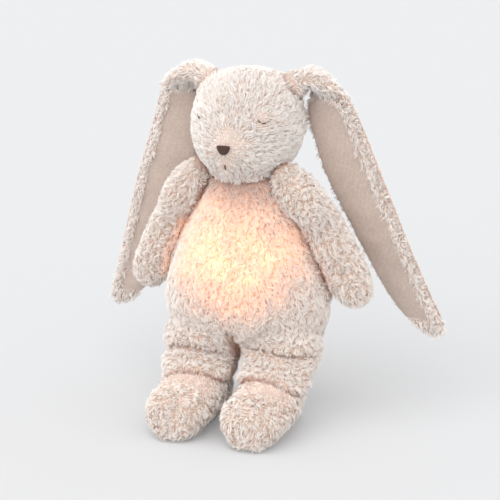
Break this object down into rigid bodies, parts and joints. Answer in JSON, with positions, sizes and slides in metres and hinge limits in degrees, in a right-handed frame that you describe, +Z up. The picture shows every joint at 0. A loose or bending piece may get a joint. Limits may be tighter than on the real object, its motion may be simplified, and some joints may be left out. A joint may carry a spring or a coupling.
{
  "type": "plush night light",
  "caption": "Standing plush rabbit with long hanging ears and a glowing belly, with a light and sound unit in a back pocket.",
  "frame": {"origin": "on the standing surface, at the middle of the figure's bounding box", "axes": "+Z up, the figure faces -Y, its own left side is +X"},
  "size_m": [0.346, 0.1829, 0.3262],
  "materials": {
    "oatmeal_pile": "short curly plush pile, pale oatmeal beige",
    "ear_lining_velour": "smooth short-nap velour, beige-pink",
    "brown_felt": "dark brown felted nose",
    "brown_thread": "dark brown embroidery thread",
    "pocket_cloth": "plain woven pocket lining",
    "fastener_tape": "hook and loop tape",
    "frosted_plastic": "frosted warm white lamp dome",
    "white_plastic": "fine texture moulded white plastic",
    "button_plastic": "soft grey-beige plastic",
    "board_laminate": "green circuit board laminate",
    "lamp_resin": "yellow lamp resin",
    "cell_foil": "foil pouch",
    "speaker_steel": "dark painted steel",
    "plated_steel": "plated steel",
    "switch_plastic": "black plastic"
  },
  "bodies": {
    "trunk": {"back_cover": "white_plastic", "battery_cell": "cell_foil", "button_board": "board_laminate", "charging_socket": "plated_steel", "cover_screw_1": "plated_steel", "cover_screw_2": "plated_steel", "cover_screw_3": "plated_steel", "head_plush": "oatmeal_pile", "led_1": "lamp_resin", "led_2": "lamp_resin", "led_3": "lamp_resin", "led_4": "lamp_resin", "led_5": "lamp_resin", "led_6": "lamp_resin", "left_eye_stitch": "brown_thread", "light_button_switch": "switch_plastic", "light_diffuser": "frosted_plastic", "loop_strip": "fastener_tape", "main_board": "board_laminate", "mouth_stitch": "brown_thread", "nose_patch": "brown_felt", "pocket_lining": "pocket_cloth", "power_button_switch": "switch_plastic", "rear_housing": "white_plastic", "right_eye_stitch": "brown_thread", "sound_button_switch": "switch_plastic", "speaker_driver": "speaker_steel", "torso_plush": "oatmeal_pile"},
    "left_arm": {"left_arm_plush": "oatmeal_pile"},
    "right_arm": {"right_arm_plush": "oatmeal_pile"},
    "left_leg": {"left_leg_plush": "oatmeal_pile", "left_foot_plush": "oatmeal_pile"},
    "right_leg": {"right_leg_plush": "oatmeal_pile", "right_foot_plush": "oatmeal_pile"},
    "left_ear": {"left_ear_pile": "oatmeal_pile", "left_ear_lining": "ear_lining_velour"},
    "right_ear": {"right_ear_pile": "oatmeal_pile", "right_ear_lining": "ear_lining_velour"},
    "pocket_flap": {"pocket_flap": "oatmeal_pile", "hook_strip": "fastener_tape"},
    "sound_button": {"sound_button": "button_plastic"},
    "power_button": {"power_button": "button_plastic"},
    "light_button": {"light_button": "button_plastic"}
  },
  "joints": [
    {"name": "left_shoulder", "type": "hinge", "parent": "trunk", "child": "left_arm", "pos_m": [0.04731, 0.019, 0.21503], "axis": [-1, 0, 0], "range_deg": [-5, 90]},
    {"name": "right_shoulder", "type": "hinge", "parent": "trunk", "child": "right_arm", "pos_m": [-0.04731, 0.019, 0.21503], "axis": [-1, 0, 0], "range_deg": [-5, 90]},
    {"name": "left_hip", "type": "hinge", "parent": "trunk", "child": "left_leg", "pos_m": [0.0415, 0.005, 0.069], "axis": [-1, 0, 0], "range_deg": [0, 45]},
    {"name": "right_hip", "type": "hinge", "parent": "trunk", "child": "right_leg", "pos_m": [-0.0415, 0.005, 0.069], "axis": [-1, 0, 0], "range_deg": [0, 45]},
    {"name": "left_ear_root", "type": "hinge", "parent": "trunk", "child": "left_ear", "pos_m": [0.04212, 0.027, 0.31015], "axis": [0, -1, 0], "range_deg": [0, 70]},
    {"name": "right_ear_root", "type": "hinge", "parent": "trunk", "child": "right_ear", "pos_m": [-0.04212, 0.027, 0.31015], "axis": [0, 1, 0], "range_deg": [0, 70]},
    {"name": "flap_hinge", "type": "hinge", "parent": "trunk", "child": "pocket_flap", "pos_m": [0, 0.05361, 0.20605], "axis": [1, 0, 0], "range_deg": [0, 95]},
    {"name": "sound_button_press", "type": "slide", "parent": "trunk", "child": "sound_button", "axis": [0, -1, 0], "range_m": [0, 0.001], "stiffness_N_per_m": 400},
    {"name": "power_button_press", "type": "slide", "parent": "trunk", "child": "power_button", "axis": [0, -1, 0], "range_m": [0, 0.001], "stiffness_N_per_m": 400},
    {"name": "light_button_press", "type": "slide", "parent": "trunk", "child": "light_button", "axis": [0, -1, 0], "range_m": [0, 0.001], "stiffness_N_per_m": 400}
  ]
}
